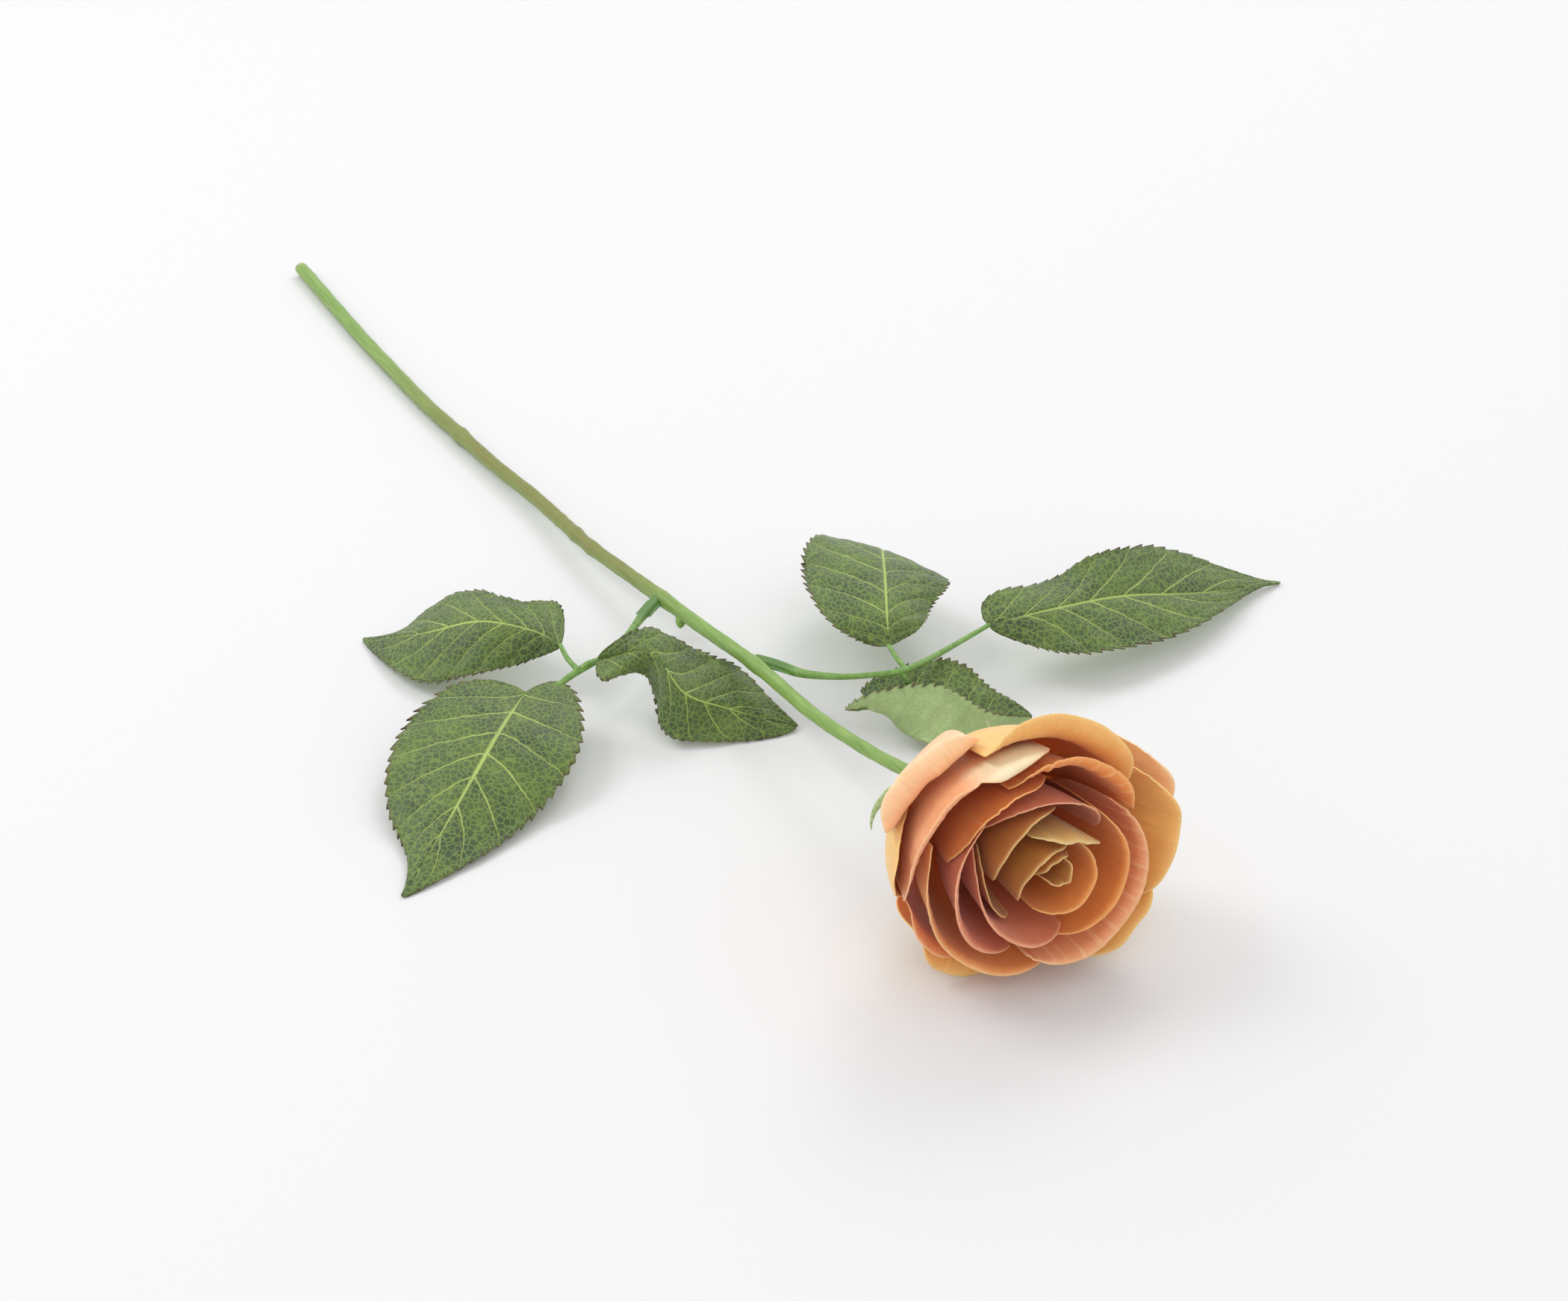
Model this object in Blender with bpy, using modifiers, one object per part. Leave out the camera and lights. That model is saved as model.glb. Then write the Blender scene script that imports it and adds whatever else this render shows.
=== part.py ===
"""A cut rose lying on its side: one open bloom, a long stem and two leaves of three leaflets each.

Every shape is laid out in millimetres on the table plane (z = 0), with the bloom towards -Y and the
cut end of the stem towards +Y. Each piece becomes one object, placed in metres by `placed`.
"""

from collections import namedtuple
from math import atan2, cos, hypot, pi, radians, sin

import bmesh
import bpy
from mathutils import Vector

MM = 0.001

# Moves the drawing so that the middle of the object's footprint is the origin, in mm.
PLACE = Vector((-24.3, -254.5, 0.0))

# The flower's own frame: h runs along its axis from the neck, azimuth turns from the flower's right.
NECK = Vector((0.0, 45.0, 33.0))
AXIS_UP_DEG = 9.0
AXIS_SIDE_DEG = 3.5
FLOWER_TURN_DEG = 2.2

PETAL_THICK = 0.55
PETAL_BASE_THICK_SHARE = 0.45
FULL_THICKNESS_AT = 0.625
PETAL_CELLS = (8, 6)
BASE_RADIUS = 2.0
BASE_RADIUS_GAIN = 6.5
BASE_HEIGHT = 11.0
BASE_HEIGHT_DROP = 10.0
BASE_WIDTH_SHARE = 0.35
FULL_WIDTH_AT = 0.6
# The two pulls of the curve that each petal follows from its foot to its rim.
BELLY = 4.0
BELLY_GAIN = 33.0
BELLY_POWER = 0.9
LOWER_OUT = 0.95
LOWER_EXTRA = 1.5
LOWER_UP = 0.10
UPPER_OUT = 0.45
UPPER_UP = 0.66

LEAF_THICK = 0.7
LEAF_CELLS = (8, 8)
LEAF_SAG = 1.2
SEPAL_THICK = 0.6
SEPAL_CELLS = (2, 7)

ROD_BEVEL_STEPS = 2

Petal = namedtuple(
    "Petal",
    "azimuth half_width layer rim_radius rim_height curl curl_radius side_drop roundness",
    defaults=(3.5,),
)
# Angles in degrees and lengths in mm. Rim values are for the left corner, the middle and the right
# corner. Layer runs from 0 at the heart to 1 outside, and orders the petals so that they nest. A
# lower roundness gives a pointed petal.
PETALS = {
    "petal_heart_1": Petal(310, 120, 0.02, (3, 3.5, 5), (56, 57, 56), 0, 4, 0.06),
    "petal_heart_2": Petal(100, 80, 0.06, (7, 6, 5), (54, 58, 56), 0, 4, 0.10),
    "petal_heart_3": Petal(135, 78, 0.10, (10, 9, 13), (58, 58, 54), 0, 5, 0.06),
    "petal_heart_4": Petal(65, 50, 0.18, (16, 12.5, 15), (55, 57, 56), -50, 4, 0.10),
    "petal_heart_5": Petal(125, 52, 0.23, (18, 18.5, 17), (54, 55, 54), 0, 4, 0.10),
    "petal_heart_6": Petal(195, 44, 0.26, (20, 19, 19), (49, 49, 49), 0, 4, 0.15),
    "petal_inner_1": Petal(330, 95, 0.14, (12, 11, 11), (56, 56, 53), 40, 3, 0.10),
    "petal_inner_2": Petal(215, 66, 0.32, (22.5, 22, 21), (47, 53, 53), 40, 3, 0.12),
    "petal_inner_3": Petal(75, 62, 0.36, (20, 21, 22), (52, 53, 49), 30, 3, 0.15),
    "petal_inner_4": Petal(186, 60, 0.41, (24.5, 28.5, 27), (48, 49, 46), 50, 4, 0.10),
    "petal_inner_5": Petal(120, 45, 0.45, (25, 26.5, 29), (48, 50, 47), 50, 3, 0.16),
    "petal_middle_1": Petal(335, 65, 0.49, (22, 23, 21), (53, 53, 52), 50, 3, 0.10),
    "petal_middle_2": Petal(318, 68, 0.55, (27, 31.5, 27), (51, 49, 46), 60, 4, 0.08),
    "petal_middle_3": Petal(62, 46, 0.61, (30, 29.5, 28), (50, 48, 47), 70, 5, 0.10),
    "petal_middle_4": Petal(129, 54, 0.70, (33, 35.5, 38.5), (47, 45, 38), 60, 6, 0.10),
    "petal_middle_5": Petal(218, 62, 0.64, (33.5, 34, 33), (42, 43, 42), 50, 4, 0.08),
    "petal_outer_1": Petal(352, 36, 0.76, (40, 42, 40), (44, 46, 44), 30, 8, 0.20),
    "petal_outer_2": Petal(65, 43, 0.80, (33, 34, 35), (40, 38, 38), 100, 7, 0.14),
    "petal_outer_3": Petal(171, 22, 0.86, (35, 42, 37), (32, 36, 34), 25, 12, 0.35, 1.3),
    "petal_outer_4": Petal(313, 34, 0.87, (40, 42, 40), (43, 43, 40), 30, 8, 0.30),
    "petal_outer_5": Petal(131, 27, 0.91, (35, 35.5, 38), (30, 29, 26), 150, 5.2, 0.14),
    "petal_outer_6": Petal(212, 28, 0.77, (36, 36, 35), (33, 33, 32), 50, 6, 0.25),
    "petal_outer_7": Petal(8, 28, 0.96, (43, 46, 43), (36, 39, 38), 30, 8, 0.32, 2.0),
    "petal_outer_8": Petal(238, 28, 0.99, (37, 36, 32.8), (27, 27, 28), 110, 5, 0.30),
}

# The stem from the cut end to the neck: a point and a radius each.
STEM = [
    ((0.0, 523.0, 2.6), 2.6),
    ((-2.4, 487.0, 2.6), 2.6),
    ((-4.6, 452.0, 2.6), 2.6),
    ((-5.8, 420.0, 2.7), 2.6),
    ((-6.7, 390.0, 2.9), 2.6),
    ((-6.3, 368.0, 3.3), 2.6),
    ((-6.2, 363.0, 3.5), 3.1),
    ((-6.1, 357.0, 3.6), 2.5),
    ((-6.0, 335.0, 4.0), 2.5),
    ((-4.9, 307.0, 5.0), 2.5),
    ((-5.4, 285.0, 6.5), 2.4),
    ((-5.8, 272.0, 7.3), 2.9),
    ((-6.2, 262.0, 8.0), 2.4),
    ((-5.7, 241.0, 10.0), 2.4),
    ((-4.7, 215.0, 12.3), 2.5),
    ((-3.9, 186.0, 15.0), 2.3),
    ((-3.0, 160.0, 17.8), 2.3),
    ((-3.0, 150.0, 18.7), 2.2),
    ((-4.4, 119.0, 21.5), 2.1),
    ((-4.2, 95.0, 24.8), 2.0),
    ((-3.2, 76.0, 28.0), 2.0),
    ((-0.9, 58.5, 31.2), 2.0),
]
BUD = [((-5.0, 200.0, 12.2), 1.6), ((-6.2, 198.4, 10.8), 1.5), ((-6.9, 197.3, 10.0), 0.8)]

# The two leaf stalks, each a main rib and two short side ribs.
STALKS = {
    "leaf_stalk_left": (
        [
            ((-7.8, 213.5, 12.6), 0.8),
            ((-9.6, 211.2, 12.8), 1.7),
            ((-12.0, 209.0, 13.0), 1.7),
            ((-18.0, 204.5, 13.4), 1.5),
            ((-26.0, 197.0, 14.2), 1.0),
            ((-44.0, 186.0, 16.0), 0.9),
            ((-53.0, 183.0, 16.3), 1.1),
            ((-61.0, 181.0, 14.9), 0.9),
            ((-70.5, 181.0, 14.6), 0.8),
        ],
        [((-52.0, 183.2, 17.0), 0.9), ((-52.0, 190.0, 17.8), 0.8), ((-50.5, 197.0, 18.0), 0.7)],
        [((-50.0, 184.0, 16.8), 0.9), ((-47.5, 184.2, 17.6), 0.8), ((-45.0, 183.6, 18.4), 0.7)],
    ),
    "leaf_stalk_right": (
        [
            ((0.2, 157.0, 18.4), 0.6),
            ((1.5, 152.0, 19.0), 1.6),
            ((3.0, 145.0, 19.6), 1.7),
            ((8.0, 137.0, 20.2), 1.5),
            ((16.0, 130.0, 21.0), 1.0),
            ((31.0, 124.0, 21.6), 1.0),
            ((38.0, 124.5, 21.5), 1.1),
            ((52.0, 128.5, 20.6), 0.9),
            ((71.5, 134.0, 20.0), 0.8),
        ],
        [((34.0, 124.0, 21.5), 0.9), ((34.5, 130.0, 21.8), 0.8), ((35.6, 136.6, 22.4), 0.7)],
        [((32.0, 124.2, 21.4), 0.9), ((33.2, 122.2, 18.6), 0.8), ((33.5, 122.8, 15.6), 0.7)],
    ),
}

Leaflet = namedtuple("Leaflet", "midrib left right")
# Each leaflet: points along its midrib, then the reach from it to the left and to the right edge, in
# even steps from foot to tip.
LEAFLETS = {
    "leaflet_left_terminal": Leaflet(
        [(-72.4, 181, 16.5), (-89, 165, 17), (-104, 153, 13), (-122, 140, 6), (-142, 125, 0.6)],
        [(-6, 38, -1), (-16, 29, -3), (-18, 14, -5), (3, 4, -2)],
        [(39, 15, -2), (28, -7, -4), (18, -14, -7), (8, -14, -4)],
    ),
    "leaflet_left_back": Leaflet(
        [(-50.2, 198, 18), (-58, 206, 22), (-69, 220, 21), (-83, 236, 12), (-93, 259, 0.8)],
        [(0, -2, -6), (-6, -5, -12), (-13, -15, -12), (-13, -13, -9)],
        [(24, 29, 5), (10, 10, -1), (14, 18, 1), (8, -4, -4)],
    ),
    "leaflet_left_front": Leaflet(
        [(-44.4, 183.4, 18.6), (-34, 168, 26), (-30, 153, 18), (-16, 150, 9), (3, 140, 1.2)],
        [(1, 2, 8), (7, 13, 2), (22, 21, -1), (12, -1, 2)],
        [(-20, -20, -5), (0, 10, -10), (-15, 0, -11), (-15, -14, -9)],
    ),
    "leaflet_right_terminal": Leaflet(
        [(72.4, 134.2, 20), (95, 129, 22), (122, 129, 18), (154, 127, 10), (190, 130, 0.8)],
        [(-6, 24, 8), (3, 15, 2), (3, 15, 8), (4, 22, 10), (1, 13, -3)],
        [(1, -9, -10), (-7, -16, -9), (-3, -17, -6), (11, 6, -4)],
    ),
    "leaflet_right_back": Leaflet(
        [(36, 137.6, 22.6), (40, 145, 29), (50, 162, 32), (60, 179, 29), (70, 192, 17)],
        [(-11, 4, -5), (-21, 17, -4), (-19, 43, -2)],
        [(12, 0, -4), (14, -11, -8), (25, -46, -9)],
    ),
    "leaflet_right_front": Leaflet(
        [(33.5, 123, 14), (26, 118, 8), (32, 105, 5), (46, 97, 5), (64, 97, 8)],
        [(-20, 13, -4), (17, 23, 13), (10, 24, 12)],
        [(-37, 0, 1), (4, 10, 16), (-13, -4, 18)],
    ),
}

Sepal = namedtuple("Sepal", "azimuth lean half_width length bend swing")
# Where each sepal stands round the calyx, how far it leans out at its foot and how much further it
# bends over its length, in degrees, with its half width and length in mm. Swing turns its tip round
# the flower.
SEPALS = {
    "sepal_1": Sepal(150, 115, 2.8, 20, 20, 55),
    "sepal_2": Sepal(78, 105, 3.2, 15, 50, 24),
    "sepal_3": Sepal(6, 80, 3.2, 20, 50, 40),
    "sepal_4": Sepal(294, 80, 3.2, 20, 60, 0),
    "sepal_5": Sepal(222, 80, 3.2, 18, 70, 0),
}
SEPAL_FOOT_RADIUS = 4.6
SEPAL_FOOT_HEIGHT = -3.2

# The receptacle's outline: radius and height along the flower's axis.
RECEPTACLE = [
    (0.0, -13.0),
    (2.2, -13.0),
    (3.0, -11.0),
    (4.2, -7.5),
    (4.6, -4.5),
    (3.9, -2.4),
    (6.0, -1.4),
    (5.6, 0.0),
    (0.0, 0.4),
]


def clear_scene():
    """Empties the scene that Blender starts with."""
    for obj in list(bpy.data.objects):
        bpy.data.objects.remove(obj, do_unlink=True)


def new_collection(name, helper=False):
    """A collection in the scene; a helper one is left out of renders."""
    collection = bpy.data.collections.new(name)
    collection.hide_render = helper
    bpy.context.scene.collection.children.link(collection)
    return collection


def new_material(name, colour, roughness):
    """A material of one colour."""
    material = bpy.data.materials.new(name)
    material.use_nodes = True
    shader = material.node_tree.nodes["Principled BSDF"]
    shader.inputs["Base Color"].default_value = (*colour, 1.0)
    shader.inputs["Roughness"].default_value = roughness
    return material


def placed(point):
    """A drawing point in mm, moved into the object's own frame in metres."""
    return (Vector(point) + PLACE) * MM


def mixed(points, share):
    """A point at this share (0 to 1) of a smooth curve through evenly spaced points."""
    last = len(points) - 1
    index = min(int(share * last), last - 1)
    t = share * last - index
    p1 = Vector(points[index])
    p2 = Vector(points[index + 1])
    p0 = Vector(points[index - 1]) if index > 0 else 2 * p1 - p2
    p3 = Vector(points[index + 2]) if index + 2 <= last else 2 * p2 - p1
    bend = (2 * p0 - 5 * p1 + 4 * p2 - p3) * t**2 + (3 * p1 - p0 - 3 * p2 + p3) * t**3
    return p1 + ((p2 - p0) * t + bend) / 2


def flower_point(radius, azimuth, height):
    """A point given in the flower's own round frame, as a drawing point in mm."""
    up = radians(AXIS_UP_DEG)
    side = radians(AXIS_SIDE_DEG)
    axis = Vector((-sin(side) * cos(up), -cos(side) * cos(up), sin(up)))
    right = Vector((cos(side), -sin(side), 0.0))
    top = axis.cross(right)
    turn = azimuth + radians(FLOWER_TURN_DEG)
    return NECK + axis * height + right * (radius * cos(turn)) + top * (radius * sin(turn))


def across(three, u):
    """The value at u (-1 to 1) of the parabola through a left, a middle and a right value."""
    left, middle, right = three
    return middle + (right - left) / 2 * u + ((right + left) / 2 - middle) * u * u


def bezier(ends, k):
    """The point at k (0 to 1) of a cubic Bezier curve in the plane."""
    weights = ((1 - k) ** 3, 3 * k * (1 - k) ** 2, 3 * k * k * (1 - k), k**3)
    r = sum(weight * end[0] for weight, end in zip(weights, ends))
    h = sum(weight * end[1] for weight, end in zip(weights, ends))
    return r, h


def bezier_length(ends, steps=24):
    """The length of a cubic Bezier curve in the plane."""
    points = [bezier(ends, i / steps) for i in range(steps + 1)]
    return sum(hypot(b[0] - a[0], b[1] - a[1]) for a, b in zip(points, points[1:]))


def petal_point(petal, u, v):
    """A point of a petal: u runs across it from -1 to 1, v up it from 0 at its foot to 1 at its rim.

    Its cross-cut through the flower's axis is a Bezier curve that bellies out from the foot and
    reaches up to the rim, and then an arc that rolls the rim outwards.
    """
    rim_r = across(petal.rim_radius, u)
    rim_h = across(petal.rim_height, u)
    foot_r = BASE_RADIUS + BASE_RADIUS_GAIN * petal.layer
    foot_h = BASE_HEIGHT - BASE_HEIGHT_DROP * petal.layer
    belly = BELLY + BELLY_GAIN * petal.layer**BELLY_POWER
    lower = (LOWER_OUT * belly + LOWER_EXTRA, foot_h + LOWER_UP * rim_h)
    upper = (UPPER_OUT * belly + (1 - UPPER_OUT) * rim_r, UPPER_UP * rim_h)
    ends = ((foot_r, foot_h), lower, upper, (rim_r, rim_h))
    straight = bezier_length(ends)
    rolled = radians(abs(petal.curl)) * petal.curl_radius
    t = v * (1 - petal.side_drop * abs(u) ** petal.roundness)
    run = t * (straight + rolled)
    radius, height = bezier(ends, min(run / straight, 1.0))
    way = 1 if petal.curl >= 0 else -1
    start = atan2(rim_r - upper[0], rim_h - upper[1])
    end = start + way * max(run - straight, 0.0) / petal.curl_radius
    radius += way * petal.curl_radius * (cos(start) - cos(end))
    height += way * petal.curl_radius * (sin(end) - sin(start))
    spread = BASE_WIDTH_SHARE + (1 - BASE_WIDTH_SHARE) * sin(pi / 2 * min(t / FULL_WIDTH_AT, 1.0))
    azimuth = radians(petal.azimuth) + radians(petal.half_width) * spread * u
    return flower_point(radius, azimuth, height)


def leaflet_point(leaflet, u, v):
    """A point of a leaflet: v runs along its midrib from foot to tip, u across it from -1 to 1."""
    outline = 0.05 + 0.95 * max(sin(pi * v**0.8), 0.0) ** 0.75
    reach = mixed(leaflet.left if u < 0 else leaflet.right, v)
    sag = Vector((0.0, 0.0, LEAF_SAG)) * (abs(u) * (1 - abs(u)) * outline)
    return mixed(leaflet.midrib, v) + reach * (abs(u) * outline) + sag


def sepal_point(sepal, u, v):
    """A point of a sepal, which leaves the calyx at a slant and bends back to a fine tip."""
    steps = 16
    lean = radians(sepal.lean)
    bend = radians(sepal.bend)
    radius = SEPAL_FOOT_RADIUS
    height = SEPAL_FOOT_HEIGHT
    for i in range(steps):
        angle = lean + bend * v * (i + 0.5) / steps
        radius += sin(angle) * sepal.length * v / steps
        height += cos(angle) * sepal.length * v / steps
    half = sepal.half_width * (0.10 + 0.90 * (1 - v) ** 0.8) * (0.6 + 0.4 * min(v / 0.2, 1.0))
    turn = radians(sepal.azimuth + sepal.swing * v**2)
    azimuth = turn + half * u / max(radius, SEPAL_FOOT_RADIUS)
    return flower_point(radius, azimuth, height)


def shell(name, surface, cells, thick, collection, material, foot_share=1.0):
    """An open sheet given by surface(u, v), thickened both ways; the foot may be thinner."""
    mesh = bpy.data.meshes.new(name)
    form = bmesh.new()
    bmesh.ops.create_grid(form, x_segments=cells[0], y_segments=cells[1], size=1.0)
    weights = {}
    for vert in form.verts:
        u = vert.co.x
        v = min(max((vert.co.y + 1) / 2, 0.0), 1.0)
        weights[vert.index] = min(v / FULL_THICKNESS_AT, 1.0)
        vert.co = placed(surface(u, v))
    form.to_mesh(mesh)
    form.free()
    for face in mesh.polygons:
        face.use_smooth = True
    obj = bpy.data.objects.new(name, mesh)
    collection.objects.link(obj)
    group = obj.vertex_groups.new(name="full_thickness")
    for index, weight in weights.items():
        group.add([index], weight, "REPLACE")
    solidify = obj.modifiers.new("thickness", "SOLIDIFY")
    solidify.thickness = thick * MM
    solidify.offset = 0.0
    solidify.vertex_group = group.name
    solidify.thickness_vertex_group = foot_share
    mesh.materials.append(material)
    return obj


def tube(name, points, collection):
    """A round rod through points with a radius each, closed at both ends, as a mesh."""
    curve = bpy.data.curves.new(name, "CURVE")
    curve.dimensions = "3D"
    curve.bevel_depth = MM
    curve.bevel_resolution = ROD_BEVEL_STEPS
    curve.use_fill_caps = True
    line = curve.splines.new("POLY")
    line.points.add(len(points) - 1)
    for knot, (place, radius) in zip(line.points, points):
        knot.co = (*placed(place), 1.0)
        knot.radius = radius
    rod = bpy.data.objects.new(name + "_line", curve)
    collection.objects.link(rod)
    bpy.context.view_layer.update()
    graph = bpy.context.evaluated_depsgraph_get()
    mesh = bpy.data.meshes.new_from_object(rod.evaluated_get(graph))
    bpy.data.objects.remove(rod, do_unlink=True)
    form = bmesh.new()
    form.from_mesh(mesh)
    bmesh.ops.remove_doubles(form, verts=form.verts, dist=0.001 * MM)
    bmesh.ops.recalc_face_normals(form, faces=form.faces)
    form.to_mesh(mesh)
    form.free()
    for face in mesh.polygons:
        face.use_smooth = True
    mesh.name = name
    obj = bpy.data.objects.new(name, mesh)
    collection.objects.link(obj)
    return obj


def branched(name, main, twigs, collection, helpers, material):
    """A rod with shorter rods grown out of it, all one body."""
    obj = tube(name, main, collection)
    obj.data.materials.clear()
    obj.data.materials.append(material)
    for number, twig in enumerate(twigs, 1):
        helper = tube(f"{name}_twig_{number}", twig, helpers)
        helper.hide_render = True
        helper.display_type = "WIRE"
        union = obj.modifiers.new(f"twig_{number}", "BOOLEAN")
        union.operation = "UNION"
        union.solver = "EXACT"
        union.object = helper
    return obj


def turned(name, outline, collection, material, steps=12):
    """A solid turned round the flower's axis from an outline of radius and height."""
    mesh = bpy.data.meshes.new(name)
    points = [(radius * MM, 0.0, height * MM) for radius, height in outline]
    mesh.from_pydata(points, [(i, i + 1) for i in range(len(points) - 1)], [])
    obj = bpy.data.objects.new(name, mesh)
    collection.objects.link(obj)
    screw = obj.modifiers.new("turn", "SCREW")
    screw.steps = steps
    screw.render_steps = steps
    screw.use_merge_vertices = True
    screw.merge_threshold = 0.0001
    screw.use_normal_calculate = True
    axis = flower_point(0.0, 0.0, 1.0) - flower_point(0.0, 0.0, 0.0)
    obj.rotation_mode = "QUATERNION"
    obj.rotation_quaternion = axis.to_track_quat("Z", "Y")
    obj.location = placed(NECK)
    mesh.materials.append(material)
    return obj


clear_scene()
rose = new_collection("cut_rose")
helpers = new_collection("helpers", helper=True)

petal_inner = new_material("petal_inner", (0.58, 0.24, 0.06), 0.6)
petal_middle = new_material("petal_middle", (0.76, 0.32, 0.10), 0.6)
petal_outer = new_material("petal_outer", (0.88, 0.50, 0.20), 0.6)
leaf_green = new_material("leaf_green", (0.06, 0.13, 0.04), 0.5)
stem_green = new_material("stem_green", (0.35, 0.46, 0.15), 0.5)
sepal_green = new_material("sepal_green", (0.28, 0.40, 0.13), 0.6)

for name, petal in PETALS.items():
    if "outer" in name:
        material = petal_outer
    elif "middle" in name:
        material = petal_middle
    else:
        material = petal_inner
    shell(
        name,
        lambda u, v, petal=petal: petal_point(petal, u, v),
        PETAL_CELLS,
        PETAL_THICK,
        rose,
        material,
        PETAL_BASE_THICK_SHARE,
    )

for name, leaflet in LEAFLETS.items():
    shell(
        name,
        lambda u, v, leaflet=leaflet: leaflet_point(leaflet, u, v),
        LEAF_CELLS,
        LEAF_THICK,
        rose,
        leaf_green,
    )

for name, sepal in SEPALS.items():
    shell(
        name,
        lambda u, v, sepal=sepal: sepal_point(sepal, u, v),
        SEPAL_CELLS,
        SEPAL_THICK,
        rose,
        sepal_green,
    )

turned("receptacle", RECEPTACLE, rose, sepal_green)
branched("stem", STEM, [BUD], rose, helpers, stem_green)
for name, (rib, *side_ribs) in STALKS.items():
    branched(name, rib, side_ribs, rose, helpers, stem_green)
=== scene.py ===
"""A cut rose lying on a pale table: stem, two leaves of three leaflets, calyx and an open bloom."""

from collections import namedtuple

import bmesh
import bpy
import numpy as np
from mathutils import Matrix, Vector


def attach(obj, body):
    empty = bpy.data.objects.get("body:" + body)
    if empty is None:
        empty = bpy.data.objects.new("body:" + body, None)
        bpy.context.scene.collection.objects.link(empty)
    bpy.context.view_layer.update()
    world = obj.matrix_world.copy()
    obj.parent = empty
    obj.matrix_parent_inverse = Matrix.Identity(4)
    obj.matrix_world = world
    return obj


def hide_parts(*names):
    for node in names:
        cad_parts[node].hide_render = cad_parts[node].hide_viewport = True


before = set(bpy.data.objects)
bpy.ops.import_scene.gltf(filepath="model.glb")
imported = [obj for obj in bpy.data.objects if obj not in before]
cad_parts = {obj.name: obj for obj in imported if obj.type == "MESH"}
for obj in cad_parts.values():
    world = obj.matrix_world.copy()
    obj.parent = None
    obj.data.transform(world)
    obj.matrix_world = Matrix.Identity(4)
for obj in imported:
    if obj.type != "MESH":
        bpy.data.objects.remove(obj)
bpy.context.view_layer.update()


# ---------------------------------------------------------------------------------------------
# Stem. One moulded rod, thicker at its joints and at the cut end, with a bud stub under it. It is
# satin green with fine lengthwise streaks, and brownish where it was sprayed along its top.
# ---------------------------------------------------------------------------------------------

MM = 0.001
# The pieces are drawn in millimetres on the table, and this point of the table is the origin.
FOOTPRINT_MIDDLE = np.array([24.3, 254.5, 0.0])

# Cut end to neck: x, y, z and the rod's radius.
STEM_ROUTE = np.array(
    [
        (0.0, 523.0, 2.6, 2.6),
        (-2.4, 487.0, 2.6, 2.6),
        (-4.6, 452.0, 2.6, 2.6),
        (-5.8, 420.0, 2.7, 2.6),
        (-6.7, 390.0, 2.9, 2.6),
        (-6.3, 364.0, 3.4, 2.6),
        (-6.0, 335.0, 4.0, 2.5),
        (-4.9, 307.0, 5.0, 2.5),
        (-5.5, 283.0, 6.5, 2.4),
        (-6.2, 262.0, 8.0, 2.4),
        (-5.7, 241.0, 10.0, 2.4),
        (-4.7, 215.0, 12.3, 2.4),
        (-3.9, 186.0, 15.0, 2.3),
        (-3.0, 155.0, 18.2, 2.2),
        (-4.4, 119.0, 21.5, 2.1),
        (-4.2, 95.0, 24.8, 2.0),
        (-3.2, 76.0, 28.0, 2.0),
        (-0.9, 58.5, 31.2, 2.0),
    ]
)
# Where the rod swells, along y, how much it adds to the radius and over what length.
STEM_JOINTS = ((363.0, 0.45, 2.6), (285.0, 0.2, 2.0), (272.0, 0.4, 2.4), (260.0, 0.25, 2.0))
LEAF_JOINTS = ((213.0, 0.35, 4.5), (154.0, 0.3, 4.5))
STEM_RINGS = 360
STEM_SIDES = 28
STEM_RIDGES = 5
STEM_RIDGE_SHARE = 0.018
STEM_LIFT = 0.05
BUD_RINGS = 14
BUD_SIDES = 16
BUD_ROUTE = np.array([(-4.6, 200.5, 12.6, 1.9), (-6.0, 198.6, 11.0, 1.6), (-6.8, 197.4, 10.1, 0.7)])


def metres(points):
    """Drawing points in millimetres as points of the frame in metres."""
    return (np.asarray(points, float) - FOOTPRINT_MIDDLE) * MM


def linear(red, green, blue):
    """A colour given as it looks on a screen, 0 to 255, as linear light."""
    screen = np.array([red, green, blue]) / 255.0
    return np.where(screen <= 0.04045, screen / 12.92, ((screen + 0.055) / 1.055) ** 2.4)


def along(knots, shares):
    """Points at these shares (0 to 1) of a smooth curve through evenly spaced knots.

    Between two knots the curve is the cubic whose slope at each knot is half the step from the
    knot before it to the knot after it.
    """
    knots = np.asarray(knots, float)
    ends = np.concatenate([[2 * knots[0] - knots[1]], knots, [2 * knots[-1] - knots[-2]]])
    place = np.clip(shares, 0.0, 1.0) * (len(knots) - 1)
    index = np.minimum(place.astype(int), len(knots) - 2)
    t = (place - index)[..., None]
    before, here, after, beyond = (ends[index + i] for i in range(4))
    slope = (after - before) * t
    square = (2 * before - 5 * here + 4 * after - beyond) * t**2
    cube = (3 * here - before - 3 * after + beyond) * t**3
    return here + (slope + square + cube) / 2


def smooth_step(low, high, values):
    """0 below low, 1 above high, and a smooth S between them."""
    t = np.clip((values - low) / (high - low), 0.0, 1.0)
    return t * t * (3 - 2 * t)


def bump_at(centre, reach, values):
    """A bell of height 1 at centre that dies away over reach."""
    return np.exp(-(((values - centre) / reach) ** 2))


def rod_grid(route, radii, sides, flatness=1.0):
    """Rings of points round a route: across it by the radius, and up by the radius times flatness."""
    ahead = np.gradient(route, axis=0)
    ahead /= np.linalg.norm(ahead, axis=1, keepdims=True)
    across = np.cross(ahead, (0.0, 0.0, 1.0))
    across /= np.linalg.norm(across, axis=1, keepdims=True)
    up = np.cross(across, ahead)
    turn = np.linspace(0.0, 2 * np.pi, sides, endpoint=False)[:, None]
    ring = across[:, None] * np.cos(turn) + up[:, None] * np.sin(turn) * flatness
    if radii.ndim == 1:
        radii = radii[:, None]
    return route[:, None] + ring * radii[..., None]


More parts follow.
